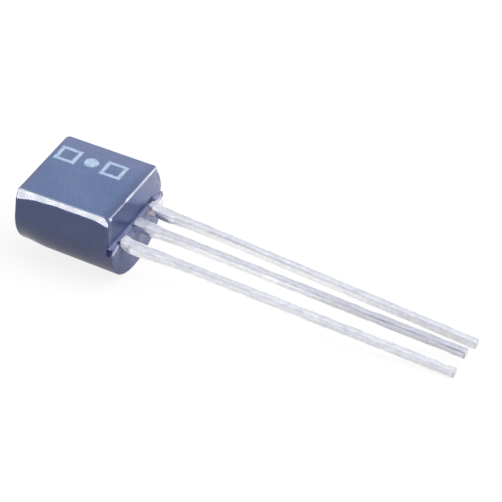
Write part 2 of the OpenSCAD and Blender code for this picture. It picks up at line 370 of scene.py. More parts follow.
X_AXIS = np.array([1.0, 0, 0])
CORNER_POINTS = 6  # round each corner of a lead's section
PAD_EDGE_R, ROOT_EDGE_R, TIP_R = 0.004, 0.03, 0.05
LEAD_REACH = LEAD_LEN - 0.042  # from the bend to the tip, which stays just inside the CAD's
FINE_LEN, FINE_STEP, LEG_STEP = 1.4, 0.05, 0.085  # spacing of the rings, finer over the root
DENT_DEPTH = 0.007
# How far past the bend each change of the lead's shape starts, and over what length it comes.
BEND_FROM, BEND_LEN, SWELL_FROM, SWELL_LEN, SWELL_TO, SWELL_FADE = -0.04, 0.12, 0.1, 0.4, 1.1, 1.6
ROUNDING_LEN, SLIM_LEN, RISE_LEN, DENT_LEN = 0.35, 0.2, 0.5, 0.3


def section(half_w, half_t, r):
    """Rounded rectangle in (across, up) coordinates."""
    r = min(r, half_w * 0.98, half_t * 0.98)
    out = []
    for k, (sy, sz) in enumerate(((1, 1), (-1, 1), (-1, -1), (1, -1))):
        for j in range(CORNER_POINTS):
            a = math.radians(90 * k + 90 * j / (CORNER_POINTS - 1))
            out.append((sy * (half_w - r) + r * math.cos(a), sz * (half_t - r) + r * math.sin(a)))
    return np.array(out)


def dents(outline, s, seed):
    """How far each point of a section is dented, s along the lead: long dents and short ones."""
    at = np.full(len(outline), s)
    long = wave(at, outline[:, 0] * 4, outline[:, 1] * 4, 1.3, seed)
    short = wave(at * 0.6, outline[:, 0] * 7, outline[:, 1] * 7, 0.5, seed + 1)
    return np.minimum(long + 0.6 * short, 0.0)


def ring(centre, forward, outline, push=None):
    """A section's outline set across the direction forward, its points pushed out by push."""
    side = np.cross([0, 0, 1], forward)
    side /= np.linalg.norm(side)
    up = np.cross(forward, side)
    p = centre + np.outer(outline[:, 0], side) + np.outer(outline[:, 1], up)
    if push is not None:
        out = outline / np.linalg.norm(outline, axis=1, keepdims=True)
        p = p + push[:, None] * (np.outer(out[:, 0], side) + np.outer(out[:, 1], up))
    return p


def loft(rings):
    """Faces between rings of points, closed at both ends."""
    n = len(rings[0])
    faces = []
    for i in range(len(rings) - 1):
        for k in range(n):
            m = (k + 1) % n
            faces.append((i * n + k, i * n + m, (i + 1) * n + m, (i + 1) * n + k))
    last = (len(rings) - 1) * n
    return faces + [tuple(range(n))[::-1], tuple(range(last, last + n))]


def leg_ring(start, along, s, lift, swell, slim, seed):
    """The lead's ring at s past its bend."""
    bend = ease((s - BEND_FROM) / BEND_LEN)
    shoulder = ease((s - ROOT_LEN) / SHOULDER_LEN)
    swell = swell * ease((s - SWELL_FROM) / SWELL_LEN)
    near = swell * (1 - ease((s - SWELL_TO) / SWELL_FADE)) / 2
    far = slim * ease(s / SLIM_LEN) * (1 - shoulder) / 2
    rise = lift * ease(s / RISE_LEN) * (1 - s / LEAD_REACH)
    half_w = (ROOT_W + (LEG_W - ROOT_W) * shoulder) / 2 + near - far
    edge_r = ROOT_EDGE_R + (LEAD_EDGE_R - ROOT_EDGE_R) * ease(s / ROUNDING_LEN)
    outline = section(half_w, LEAD_T / 2, edge_r)
    push = dents(outline, s, seed) * (DENT_DEPTH * ease(s / DENT_LEN))
    centre = start + along * s + np.array([0, -near - far, rise])
    return ring(centre, X_AXIS * (1 - bend) + along * bend, outline, push)


def make_lead(name, node, y0, pad, droop, splay, lift, swell, slim, seed):
    """One lead from its pad in the case to its tip. droop and splay are in degrees.

    lift is how far it rises past its root. swell and slim are how much wider it is there on the
    near side and how much narrower on the far side.
    """
    droop, splay = math.radians(droop), math.radians(splay)
    along = np.array([math.cos(droop) * math.cos(splay), math.cos(droop) * math.sin(splay),
                      -math.sin(droop)])
    half_t, z0 = LEAD_T / 2, -LEAD_T / 2
    x0, x1, y_low, y_high = pad
    outline = section((y_high - y_low) / 2, half_t, PAD_EDGE_R)
    rings = [ring(np.array([x, (y_high + y_low) / 2, z0]), X_AXIS, outline) for x in (x0, x1)]
    outline = section(HALF_ROOT, half_t, SOFT_R)
    rings += [ring(np.array([x, y0, z0]), X_AXIS, outline) for x in (x1, LEAD_FACE - 0.1)]
    start = np.array([BEND_X, y0, z0])
    fine = np.arange(0.0, FINE_LEN, FINE_STEP)
    coarse = np.arange(FINE_LEN, LEAD_REACH - 0.12, LEG_STEP)
    for s in np.concatenate([fine, coarse]):
        rings.append(leg_ring(start, along, s, lift, swell, slim, seed))
    end = start + along * LEAD_REACH
    for a in np.radians([0, 25, 45, 65, 85]):
        inset, back = TIP_R * (1 - math.cos(a)), TIP_R * (1 - math.sin(a))
        outline = section(LEG_W / 2 - inset, half_t - inset, LEAD_EDGE_R - inset)
        rings.append(ring(end - along * back, along, outline))
    return add_mesh(name, np.concatenate(rings), loft(rings), node)


# ---- materials ----

def feed(tree, socket, value):
    """Links a socket to another one, or sets it to a plain number or colour."""
    if isinstance(value, bpy.types.NodeSocket):
        tree.links.new(value, socket)
    elif isinstance(value, tuple) and socket.type == "RGBA":
        socket.default_value = (*value, 1)
    else:
        socket.default_value = value


def calc(tree, operation, *values):
    """Result of a math node."""
    node = tree.nodes.new("ShaderNodeMath")
    node.operation = operation
    for socket, value in zip(node.inputs, values):
        feed(tree, socket, value)
    return node.outputs[0]


class Sheet:
    """A material whose arithmetic is written as nodes. Sockets and plain numbers mix freely."""

    def __init__(self, name):
        self.material = bpy.data.materials.new(name)
        self.material.use_nodes = True
        self.tree = self.material.node_tree
        self.nodes, self.links = self.tree.nodes, self.tree.links
        self.shader = self.nodes["Principled BSDF"]
        coords = self.nodes.new("ShaderNodeTexCoord")
        to_case = self.nodes.new("ShaderNodeMapping")
        to_case.vector_type = "TEXTURE"
        to_case.inputs["Location"].default_value = (REST_SHIFT * MM, 0, REST_LIFT * MM)
        to_case.inputs["Rotation"].default_value = (0, REST_TILT, 0)
        to_case.inputs["Scale"].default_value = (MM, MM, MM)
        self.links.new(coords.outputs["Object"], to_case.inputs["Vector"])
        self.at = to_case.outputs[0]
        self.x, self.y, self.z = self.parts(self.at)

    def parts(self, vector):
        """X, Y and Z of a vector socket."""
        split = self.nodes.new("ShaderNodeSeparateXYZ")
        self.links.new(vector, split.inputs[0])
        return split.outputs

    def normal(self):
        """Parts of the surface's normal along the row's X, Y and Z."""
        return self.parts(self.nodes.new("ShaderNodeNewGeometry").outputs["Normal"])

    def calc(self, operation, *values):
        return calc(self.tree, operation, *values)

    def chain(self, operation, values):
        """One operation over any number of values."""
        total, *rest = values
        for value in rest:
            total = self.calc(operation, total, value)
        return total

    def add(self, *values):
        return self.chain("ADD", values)

    def times(self, *values):
        return self.chain("MULTIPLY", values)

    def most(self, *values):
        return self.chain("MAXIMUM", values)

    def least(self, *values):
        return self.chain("MINIMUM", values)

    def less(self, a, b):
        """a minus b."""
        return self.calc("SUBTRACT", a, b)

    def away(self, value, centre):
        """Distance of a value from a centre."""
        return self.calc("ABSOLUTE", self.less(value, centre))

    def length(self, *values):
        return self.calc("SQRT", self.add(*(self.times(v, v) for v in values)))

    def distance(self, x=None, y=None, z=None):
        """Distance from a point, or from the line along a coordinate that is left out."""
        at = ((self.x, x), (self.y, y), (self.z, z))
        return self.length(*(self.less(v, c) for v, c in at if c is not None))

    def ramp(self, value, low, high, start=0.0, end=1.0):
        """Smooth change from start to end as the value goes from low to high.

        low may be the greater of the two: the value then falls from low to high.
        """
        node = self.nodes.new("ShaderNodeMapRange")
        node.interpolation_type = "SMOOTHSTEP"
        for name, v in (("Value", value), ("From Min", low), ("From Max", high),
                        ("To Min", start), ("To Max", end)):
            feed(self.tree, node.inputs[name], v)
        return node.outputs[0]

    def noise(self, scale, detail=2.0, seed=0.0, stretch=(1, 1, 1)):
        """Seeded noise of about that many features a millimetre, 0 to 1 about 0.5."""
        shift = self.nodes.new("ShaderNodeMapping")
        shift.inputs["Location"].default_value = (seed * 3.7, seed * 5.3, seed * 1.9)
        shift.inputs["Scale"].default_value = stretch
        self.links.new(self.at, shift.inputs["Vector"])
        node = self.nodes.new("ShaderNodeTexNoise")
        node.inputs["Scale"].default_value = scale
        node.inputs["Detail"].default_value = detail
        self.links.new(shift.outputs[0], node.inputs["Vector"])
        return node.outputs["Fac"]

    def ragged(self, size, scale, detail, seed):
        """Noise about 0, for making an edge uneven by about half that size."""
        return self.times(self.less(self.noise(scale, detail, seed), 0.5), size)

    def blend(self, share, a, b, mode="MIX"):
        """Colour a with that share of b."""
        node = self.nodes.new("ShaderNodeMix")
        node.data_type = "RGBA"
        node.blend_type = mode
        node.clamp_factor = True
        for socket, v in ((node.inputs[0], share), (node.inputs[6], a), (node.inputs[7], b)):
            feed(self.tree, socket, v)
        return node.outputs[2]

    def bump(self, height, depth, strength=1.0):
        """Bump of that depth in millimetres."""
        node = self.nodes.new("ShaderNodeBump")
        feed(self.tree, node.inputs["Strength"], strength)
        node.inputs["Distance"].default_value = depth * MM
        self.links.new(height, node.inputs["Height"])
        self.links.new(node.outputs[0], self.shader.inputs["Normal"])

    def set(self, **values):
        for name, value in values.items():
            feed(self.tree, self.shader.inputs[name.replace("_", " ")], value)


# Masks that several places share. Each is 1 where its name says and 0 elsewhere.

def on_flat(s, share=1.0):
    return s.ramp(s.z, FLAT_H - 0.08, FLAT_H - 0.04, 0.0, share)


def past_corner(s):
    """On the lead end, past the rounded corners."""
    return s.ramp(s.x, HALF_LEN - 0.1, HALF_LEN - 0.06)


def short_of_band(s):
    return s.ramp(s.x, HALF_LEN + 0.03, HALF_LEN + 0.02)


def past_wall(s):
    """On the ledges and the band, which stand out past the wall over the leads."""
    return s.ramp(s.x, HALF_LEN + 0.005, HALF_LEN + 0.02)


def on_middle_lead(s):
    return s.ramp(s.away(s.y, 0.0), 0.5, 0.4)


# The voids round the lead roots, which are painted dark as painted shade.
def in_voids(s):
    shade = 0.0
    for centre, radii in VOIDS:
        at = zip((s.x, s.y, s.z), centre, radii)
        d = s.length(*(s.times(s.less(v, c), 1 / r) for v, c, r in at))
        shade = s.most(shade, s.ramp(d, 1.18, 0.88))
    return shade


# ---- the case's material ----

# The printed marks: open square, disc, open square in a row on the flat face.
INK_LINE, INK_SOFT, INK_RAGGED = 0.075, 0.045, 0.07
MARK_Y = 0.88
SQUARES, SQUARE_HALF = (-1.36, 0.66), 0.45
DISC_X, DISC_R = -0.34, 0.29
# Painted light: paler spots beside the near side of each lead, lifting the shade the leads cast,
# and a dark spot beside the far one: y, z, reach, fade and share.
ROOT_LIGHT_SPOTS = ((-1.6, -0.28, 0.28, 0.16, 0.45), (-0.33, -0.42, 0.28, 0.16, 0.2),
               (0.93, -0.22, 0.2, 0.16, 0.6))
DARK_SPOT = (0.74, -0.04, 0.24, 0.14, 0.4)

# Colours, linear. The flat and the walls:
SLATE, SLATE_PALE = (0.122, 0.182, 0.358), (0.139, 0.202, 0.378)
FLAT_LEAD_END, FLAT_BACK_END, FLAT_FAR_SHEEN = (0.072, 0.068, 0.19), (0.15, 0.15, 0.23), (0.42, 0.37, 0.5)
WALL_BLUE, WALL_FAR_REFLECTION, WALL_EDGE_REFLECTION = (0.055, 0.06, 0.26), (0.35, 0.35, 0.49), (0.36, 0.37, 0.52)
CORNER_HIGHLIGHT, SPECK, END_SHADE = (0.28, 0.27, 0.42), (0.45, 0.5, 0.62), (0.03, 0.036, 0.085)
BACK_FOOT, EDGE_HIGHLIGHT, INK = (0.27, 0.21, 0.47), (0.85, 0.9, 0.97), (0.55, 0.7, 0.9)
# The lead end below the meeting line, where the tints multiply what is there:
LILAC_NEAR, LILAC_FAR = (0.16, 0.22, 0.45), (0.34, 0.4, 0.62)
TINT_NEAR, TINT_FAR, TINT_FOOT = (0.9, 0.86, 0.8), (0.62, 0.6, 0.6), (0.83, 0.77, 0.85)
PALE_ROOT_LIGHT, DARK_RESIN, CASE_PIT_SHADE = (0.4, 0.4, 0.44), (0.06, 0.06, 0.12), (0.05, 0.06, 0.14)
LEDGE_TOP_LIGHT, FAR_LEDGE_LIGHT, LEDGE_HIGHLIGHT = (0.24, 0.255, 0.34), (0.29, 0.26, 0.42), (0.75, 0.76, 0.85)
BAND_TIP, NOTCH_SHADE = (0.15, 0.165, 0.22), (0.03, 0.035, 0.09)


def spot(s, y, z, reach, fade, share):
    """A round, soft spot on the lead end."""
    return s.ramp(s.distance(y=y, z=z), reach, reach - fade, 0.0, share)


def ink_mask(s):
    """1 on the ink, 0 off it, with slightly uneven edges and coverage."""
    shapes = s.less(s.distance(x=DISC_X, y=MARK_Y), DISC_R)
    for x in SQUARES:
        square = s.most(s.away(s.x, x), s.away(s.y, MARK_Y))
        shapes = s.least(shapes, s.less(s.away(square, SQUARE_HALF - INK_LINE), INK_LINE))
    edge = s.ramp(s.add(shapes, s.ragged(INK_RAGGED, 5.0, 2.0, 4.0)), INK_SOFT, -INK_SOFT)
    cover = s.ramp(s.noise(7.0, 3.0, 9.0), 0.25, 0.6, 0.55, 1.0)
    return s.times(edge, cover, s.ramp(s.z, FLAT_H - 0.06, FLAT_H - 0.03))


def edge_highlight(s):
    """Painted highlight along the flat's edge over the leads, broad away from the viewer."""
    inset, width, broadening, soft, gap_y = 0.03, 0.037, 0.013, 0.012, -0.83
    edge_x = HALF_LEN - FLAT_H * math.tan(END_DRAFT) - inset
    broad = s.ramp(s.y, -0.75, -0.5)
    width = s.add(width, s.times(broad, broadening), s.ragged(0.04, 2.2, 2.0, 2.0))
    line = s.ramp(s.less(s.distance(x=edge_x, z=FLAT_H), width), soft, -soft)
    uneven = s.ramp(s.noise(1.3, 2.0, 27.0), 0.35, 0.6, 0.6, 1.0)
    gap = s.ramp(s.away(s.y, gap_y), 0.1, 0.25, 0.5, 1.0)
    line = s.times(line, s.add(0.45, s.times(broad, 0.5)), uneven, gap)
    # A painted glint at the near corner, and a thin painted highlight along the flat's near edge.
    corner_x, corner_y, corner_z, depth = HALF_LEN - 0.05, -1.92, FLAT_H - 0.04, 0.7
    corner = s.length(s.less(s.x, corner_x), s.less(s.y, corner_y),
                      s.times(s.less(s.z, corner_z), depth))
    near = s.times(s.ramp(s.away(s.y, -FLAT_W / 2), 0.05, 0.01), s.ramp(s.x, 1.85, 1.65),
                   s.ramp(s.z, FLAT_H - 0.05, FLAT_H - 0.02),
                   s.ramp(s.noise(2.0, 2.0, 51.0), 0.3, 0.6, 0.3, 0.5))
    return s.most(line, near, s.ramp(corner, 0.085, 0.05, 0.0, 0.85))


def painted_end_shade(s):
    """Painted shade: a dull, darker patch of the wall the leads leave by.

    It lies on the viewer's side of a slant.
    """
    wall = s.times(s.ramp(s.x, HALF_LEN - 0.08, HALF_LEN - 0.04), short_of_band(s),
                   s.ramp(s.z, 0.0, 0.015))
    slant = s.add(s.y, s.times(s.z, 1.5), s.ragged(0.5, 2.0, 3.0, 15.0))
    # The painted shade goes on along the wall's foot, ever lower.
    low = s.ramp(s.y, 0.5, 1.6, 0.62, 0.16)
    foot = s.times(s.ramp(s.z, low, s.times(low, 0.3)), s.ramp(s.y, -0.9, -0.3, 0.4, 1.0),
                   s.ramp(s.away(s.y, 0.5), 0.1, 0.5, 1.2, 1.0), s.ramp(s.y, 1.65, 1.2))
    # A darker streak of painted shade falls from the near side to the middle lead.
    streak = s.away(s.add(s.z, s.times(s.y, 0.7)), -0.22)
    streak = s.times(s.ramp(streak, 0.22, 0.05), s.ramp(s.y, -1.7, -1.4),
                     s.ramp(s.y, 0.1, -0.3, 0.0, 0.3))
    return s.times(wall, s.add(s.most(s.ramp(slant, 1.6, 1.0, 0.0, 0.75), foot), streak))


def ledge_highlights(s):
    """Painted highlights on the ledges' edges round the lead roots and on the band's far end."""
    top = s.times(past_wall(s), s.ramp(s.z, -0.05, -0.01), 0.1)
    step_y = -PITCH - HALF_ROOT
    foot = s.add(s.times(s.most(s.less(s.y, STEP_Y), 0.0), STEP_RISE), STEP_FOOT)
    step = s.times(s.ramp(s.x, BAND_X - 0.02, BAND_X + 0.01), s.ramp(s.y, step_y, step_y - 0.05),
                   s.ramp(s.away(s.z, foot), 0.05, 0.01), 0.62)
    far = s.times(s.ramp(s.y, PITCH + 0.12, PITCH + 0.3), s.ramp(s.x, HALF_LEN, HALF_LEN + 0.02),
                  s.ramp(s.z, 0.04, 0.02), s.ramp(s.z, -0.75, -0.55),
                  s.ramp(s.z, -0.01, -0.2, 0.05, 0.95))
    return s.most(top, step, far)


def near_notch_mask(s):
    inner = -HALF_W + NEAR_NOTCH_W
    return s.times(s.ramp(s.x, HALF_LEN - 0.07, HALF_LEN - 0.04),
                   s.ramp(s.y, inner + 0.02, inner - 0.01),
                   s.ramp(s.z, -LEAD_T - 0.02, -LEAD_T + 0.01), s.ramp(s.z, -0.03, -0.07))


def flat_colour(s):
    """The epoxy's slate blue, and how it changes over the flat."""
    shade = s.blend(s.ramp(s.noise(0.55, 3.0, 1.0), 0.35, 0.65), SLATE, SLATE_PALE)
    shade = s.blend(1.0, shade, s.ramp(s.noise(9.0, 3.0, 6.0), 0.3, 0.7, 0.92, 1.08), "MULTIPLY")
    # The flat darkens a little towards its ends.
    shade = s.blend(s.times(s.ramp(s.x, 1.45, 1.85), on_flat(s), 0.46), shade, FLAT_LEAD_END)
    back = s.times(s.ramp(s.x, -1.6, -1.95), s.ramp(s.y, 0.6, -0.4), on_flat(s, 0.4))
    shade = s.blend(back, shade, FLAT_BACK_END)
    # The walls are a little darker, and the flat is paler along its far edge as a painted sheen.
    shade = s.blend(s.ramp(s.z, FLAT_H - 0.05, FLAT_H - 0.1, 0.0, 0.38), shade, WALL_BLUE)
    shade = s.blend(s.times(on_flat(s), s.ramp(s.y, 0.2, 1.9), 0.19), shade, FLAT_FAR_SHEEN)
    specks = s.times(s.ramp(s.noise(5.5, 1.0, 12.0), 0.75, 0.79),
                     s.ramp(s.z, FLAT_H - 0.2, FLAT_H - 0.3), 0.3)
    return s.blend(specks, shade, SPECK)


def low_end_colour(s, shade, low_end):
    """Below the meeting line the lead end is a more even, lilac grey."""
    lilac = s.blend(s.ramp(s.y, -1.0, 0.0), LILAC_NEAR, LILAC_FAR)
    shade = s.blend(s.times(low_end, s.ramp(s.y, -2.0, 0.6, 0.3, 0.78)), shade, lilac)
    # It darkens on the slope between the leads, at its rim and towards the middle's foot.
    slant = s.times(low_end, s.ramp(s.z, -LEAD_T - 0.03, -LEAD_T + 0.04),
                    s.ramp(s.away(s.y, 0.0), 1.55, 1.5))
    tint = s.blend(s.ramp(s.y, -0.2, 0.4), TINT_NEAR, TINT_FAR)
    shade = s.blend(slant, shade, tint, "MULTIPLY")
    rim = s.ramp(s.length(s.y, s.z), 1.85, 2.1)
    foot = s.times(s.ramp(s.y, -1.1, -0.6), s.ramp(s.z, -1.0, -1.5))
    shade = s.blend(s.times(low_end, s.most(rim, foot)), shade, TINT_FOOT, "MULTIPLY")
    # Painted light: paler spots beside the lead roots lift the shade the leads cast.
    pale = s.most(0.0, *(spot(s, *values) for values in ROOT_LIGHT_SPOTS))
    pale = s.times(pale, s.ramp(s.x, HALF_LEN + 0.08, HALF_LEN + 0.1))
    shade = s.blend(pale, shade, PALE_ROOT_LIGHT)
    dark = s.times(spot(s, *DARK_SPOT), s.ramp(s.x, HALF_LEN + 0.05, HALF_LEN + 0.07))
    return s.blend(dark, shade, DARK_RESIN)


def ledge_colour(s, shade):
    """The ledges' tops painted as lit, their painted edge highlights, and the band's far tip."""
    ledge = s.times(past_wall(s), s.ramp(s.z, -0.06, -0.02))
    shade = s.blend(s.times(ledge, 0.4), shade, LEDGE_TOP_LIGHT)
    shade = s.blend(s.times(ledge, s.ramp(s.y, 1.45, 1.6), 0.6), shade, FAR_LEDGE_LIGHT)
    ledge_glint = s.blend(s.times(s.ramp(s.y, 1.6, 1.9), s.ramp(s.z, -0.2, -0.4)), LEDGE_HIGHLIGHT, WHITE)
    shade = s.blend(ledge_highlights(s), shade, ledge_glint)
    tip = s.distance(BAND_X + 0.04, 2.19, -0.1)
    return s.blend(s.ramp(tip, 0.16, 0.06, 0.0, 0.75), shade, BAND_TIP)


def wall_colour(s, shade):
    """The lilac wall over the leads, with painted reflection on its far upper part and far edge."""
    foot = s.ramp(s.y, 1.45, 1.65, 0.1, -0.15)
    upper = s.times(past_corner(s), short_of_band(s), s.ramp(s.z, foot, s.add(foot, 0.1)),
                    s.ramp(s.add(s.y, s.z), 0.6, 2.4),
                    s.ramp(s.z, FLAT_H - 0.04, FLAT_H - 0.1, 0.0, 0.42))
    shade = s.blend(upper, shade, WALL_FAR_REFLECTION)
    edge = s.times(past_corner(s), s.ramp(s.z, 0.0, 0.04), s.ramp(s.y, 1.5, 1.8, 0.0, 0.42))
    shade = s.blend(edge, shade, WALL_EDGE_REFLECTION)
    # A painted highlight, a paler line, runs down the near vertical corner.
    corner = s.times(s.ramp(s.y, -1.75, -2.0), s.ramp(s.x, 1.9, 1.96), s.ramp(s.z, 0.05, 0.3), 0.3)
    return s.blend(corner, shade, CORNER_HIGHLIGHT)


def epoxy():
    s = Sheet("slate_epoxy")
    normal = s.normal()
    end_shade, notch, pits, ink = painted_end_shade(s), near_notch_mask(s), in_voids(s), ink_mask(s)
    low_end = s.times(s.ramp(normal[0], 0.75, 0.9), s.ramp(s.z, 0.0, -0.05))
    # Painted shade darkens the wall over the leads.
    shade = s.blend(s.times(end_shade, 0.55), flat_colour(s), END_SHADE)
    shade = low_end_colour(s, shade, low_end)
    shade = ledge_colour(s, shade)
    shade = wall_colour(s, shade)
    # Painted shade darkens the near notch inside, and the round back has a warmer, paler foot.
    shade = s.blend(s.times(notch, 0.66), shade, NOTCH_SHADE)
    foot = s.most(s.times(s.ramp(s.z, -0.6, -1.5), s.ramp(s.x, -1.8, 0.5, 0.42, 0.38)),
                  s.times(s.ramp(s.z, 0.2, -1.0), s.ramp(s.x, 0.9, 1.7, 0.0, 0.42)))
    shade = s.blend(s.times(foot, s.less(1.0, low_end)), shade, BACK_FOOT)
    # Painted shade in the voids round the lead roots.
    shade = s.blend(s.times(pits, 0.75), shade, CASE_PIT_SHADE)
    # A painted highlight along the flat's edges over the leads.
    shade = s.blend(edge_highlight(s), shade, EDGE_HIGHLIGHT)
    shade = s.blend(ink, shade, INK)
    # The lead end's wall is duller than the rest, and the ink is rougher.
    rough = s.add(s.ramp(s.noise(1.6, 3.0, 3.0), 0.3, 0.7, 0.11, 0.16),
                  s.times(s.ramp(normal[0], 0.8, 0.9), 0.22), s.times(ink, 0.25))
    gloss = s.times(s.ramp(end_shade, 0.0, 1.0, 0.5, 0.12), s.less(1.0, s.most(notch, pits)))
    s.set(Base_Color=shade, Roughness=rough, IOR=1.47, Specular_IOR_Level=gloss)
    # The bevels are smoother than the other faces.
    bevel = s.ramp(s.away(normal[2], 0.5), 0.4, 0.3)
    s.bump(s.noise(12.0, 2.0, 8.0), 0.0015, s.ramp(bevel, 0.0, 1.0, 1.0, 0.3))
    return s.material


# ---- the leads' material ----

TIN_DARK, TIN_PALE, TIN_ROOT = (0.64, 0.65, 0.695), (0.69, 0.7, 0.745), (0.8, 0.8, 0.84)
TIN_MIDDLE, TIN_SIDE_SHEEN, TIN_EDGE_SHADE = (0.5, 0.5, 0.57), (0.98, 0.98, 0.99), (0.46, 0.46, 0.52)
WISP, SCRATCH_AND_SHADE = (0.45, 0.45, 0.52), (0.24, 0.24, 0.33)
ROOT_SHADOW, ROOT_PATCH, ROOT_BROWN = (0.34, 0.33, 0.43), (1.0, 0.93, 0.93), (0.19, 0.16, 0.22)
TIP_RIM, TIP_FACE = (0.3, 0.3, 0.36), (0.74, 0.72, 0.71)
BLEED_SIDE_LIGHTENED, BLEED_TOP, LEAD_PIT_SHADE = (0.5, 0.51, 0.7), (0.17, 0.19, 0.31), (0.03, 0.035, 0.08)


def over_droop(s):
    """Height over the line that the drooping leads follow from the case."""
    return s.add(s.z, s.times(s.less(s.x, LEAD_FACE), 0.06))


def resin_bleed(s, normal):
    """Thin resin left on the lead roots beside the case: 1 where it covers the metal."""
    ragged = s.ragged(0.16, 4.0, 3.0, 41.0)
    # On top it ends farther out at the outer leads and at each lead's edges.
    off = s.least(s.away(s.y, -PITCH), s.away(s.y, 0.0), s.away(s.y, PITCH))
    outer = s.ramp(s.away(s.y, 0.0), 0.6, 0.7)
    corner = s.times(s.ramp(off, 0.14, 0.27), s.ramp(s.away(s.y, 0.2), 0.14, 0.2, 0.0, 0.08))
    top_end = s.add(HALF_LEN + 0.09, s.times(outer, 0.08), corner, ragged)
    top_end = s.less(top_end, s.ramp(s.y, 0.8, 1.0, 0.0, 0.12))
    top_end = s.add(top_end, s.times(s.ramp(s.y, 1.14, 1.03), s.ramp(s.y, 0.8, 0.9, 0.0, 0.15)))
    top = s.times(s.ramp(s.x, top_end, s.less(top_end, 0.03)), s.ramp(normal[2], 0.5, 0.8))
    # On the sides it ends in a curve on the near lead and along a slant on the middle one.
    height = over_droop(s)
    curve = s.add(LEAD_FACE - 0.03, s.times(height, height, 2.4), s.times(ragged, 0.5))
    low = s.times(s.ramp(s.y, -0.9, -1.0), s.ramp(s.x, curve, s.less(curve, 0.04)))
    reach = s.add(s.least(2.95, s.add(2.41, s.times(height, -3.9))), s.times(ragged, 0.5))
    mid = s.times(on_middle_lead(s), s.ramp(s.x, reach, s.less(reach, 0.05)))
    return s.most(top, s.times(s.most(low, mid), s.ramp(normal[2], 0.8, 0.5)))


def plate_colour(s, middle):
    """Streaked tin, paler at the roots and greyer towards the middle lead's end."""
    streak = s.ramp(s.noise(6.0, 3.0, 1.0, (0.1, 1, 1)), 0.32, 0.68)
    shade = s.blend(streak, TIN_DARK, TIN_PALE)
    root = s.times(s.ramp(s.x, 3.1, 2.4, 0.0, 0.6), s.less(1.0, s.times(middle, 0.3)))
    shade = s.blend(root, shade, TIN_ROOT)
    return s.blend(s.times(middle, s.ramp(s.x, 8.0, 10.3, 0.15, 0.62)), shade, TIN_MIDDLE)


def side_sheen_and_shade(s, shade, normal, middle, past_root):
    """Painted reflection: the near sides are painted brighter than the rolled faces, most on the
    inner leads.
    """
    reach = s.add(s.times(s.ramp(s.x, 14.0, 10.0, 0.55, 1.0), s.less(1.0, middle)),
                  s.times(s.ramp(s.x, 11.5, 8.0, 0.3, 0.88), middle))
    inner = s.times(s.ramp(s.y, -0.8, -0.5), reach)
    near_lead = s.times(s.ramp(s.x, 12.5, 8.5, 0.12, 0.26), s.ramp(s.y, -0.5, -0.8))
    side = s.times(s.ramp(normal[1], -0.8, -0.97), s.most(near_lead, inner))
    shade = s.blend(side, shade, TIN_SIDE_SHEEN)
    # The far upper edges and the undersides get a painted highlight too; the near upper edges
    # painted shade.
    bright = s.times(s.ramp(normal[1], 0.05, 0.35), s.ramp(normal[1], 0.95, 0.8))
    shade = s.blend(s.most(bright, s.ramp(normal[2], -0.05, -0.4, 0.0, 0.9)), shade, WHITE)
    edge_shade = s.times(s.ramp(s.away(normal[1], -0.68), 0.32, 0.12), s.ramp(normal[2], 0.0, 0.3),
                   past_root, s.add(0.13, s.times(middle, s.ramp(s.x, 9.0, 11.5, 0.0, 0.35))))
    return s.blend(edge_shade, shade, TIN_EDGE_SHADE)


def wear_and_shade(s, shade, normal, middle, past_root):
    """Dull wisps, a fine grain and lengthwise scratches, deepest near the middle lead's end.

    The scratches and grooves also darken the near upper edges and sides as painted shade.
    """
    wisps = s.times(s.ramp(s.noise(2.4, 4.0, 5.0, (0.45, 1, 1)), 0.54, 0.72), 0.2)
    shade = s.blend(wisps, shade, WISP)
    grain = s.ramp(s.noise(9.0, 3.0, 33.0, (0.6, 1, 1)), 0.3, 0.7, 0.93, 1.06)
    shade = s.blend(1.0, shade, grain, "MULTIPLY")
    scratch_and_shade = s.times(s.ramp(s.noise(5.0, 3.0, 21.0, (0.35, 1, 1)), 0.4, 0.6),
                      s.ramp(s.away(normal[1], -0.5), 0.4, 0.1), past_root, 0.2)
    groove_and_shade = s.times(s.ramp(s.noise(2.0, 3.0, 25.0, (0.3, 1, 1)), 0.38, 0.55),
                     s.ramp(s.away(normal[1], -0.78), 0.2, 0.08), middle,
                     s.ramp(s.x, 9.5, 11.5), 0.75)
    return s.blend(s.most(scratch_and_shade, groove_and_shade), shade, SCRATCH_AND_SHADE)


def far_root(s, shade, normal):
    """The far lead's near side: painted shadow at its root under a painted highlight on its rim.

    It is also stained by the case.
    """
    height = over_droop(s)
    line = s.ramp(s.x, 2.85, 3.6, -0.11, -0.28)
    side = s.times(s.ramp(normal[1], -0.2, -0.5), s.ramp(s.y, 0.6, 0.7))
    dark = s.times(side, s.ramp(height, s.add(line, 0.06), s.less(line, 0.07)),
                   s.ramp(s.x, 3.75, 2.9), 0.8)
    shade = s.blend(dark, shade, ROOT_SHADOW)
    # A painted highlight along the side's upper rim.
    rim = s.times(side, s.ramp(height, s.less(line, 0.03), s.add(line, 0.02)),
                  s.ramp(s.x, 2.34, 2.4), s.ramp(s.x, 2.85, 2.6), 0.75)
    shade = s.blend(rim, shade, WHITE)
    patch = s.times(s.ramp(s.x, 2.56, 2.46), s.ramp(s.y, 0.9, 1.0), s.ramp(normal[1], -0.3, -0.6),
                    s.ramp(height, -0.37, -0.32), s.ramp(height, -0.08, -0.2, 0.25, 1.0))
    shade = s.blend(patch, shade, ROOT_PATCH)
    brown = s.times(s.ramp(s.x, 2.36, 2.29), s.ramp(s.y, 0.9, 1.0), s.ramp(normal[2], 0.85, 0.6),
                    s.ramp(normal[1], -0.1, -0.4), s.ramp(height, -0.17, -0.11), 0.6)
    return s.blend(brown, shade, ROOT_BROWN)


def cut_ends(s, shade, normal):
    """The cut ends are a little yellow inside a darker rim."""
    at_tip = s.ramp(s.x, 14.0, 14.5)
    shade = s.blend(s.times(at_tip, s.ramp(normal[0], 0.15, 0.4), 0.5), shade, TIP_RIM)
    return s.blend(s.times(at_tip, s.ramp(normal[0], 0.75, 0.95)), shade, TIP_FACE)


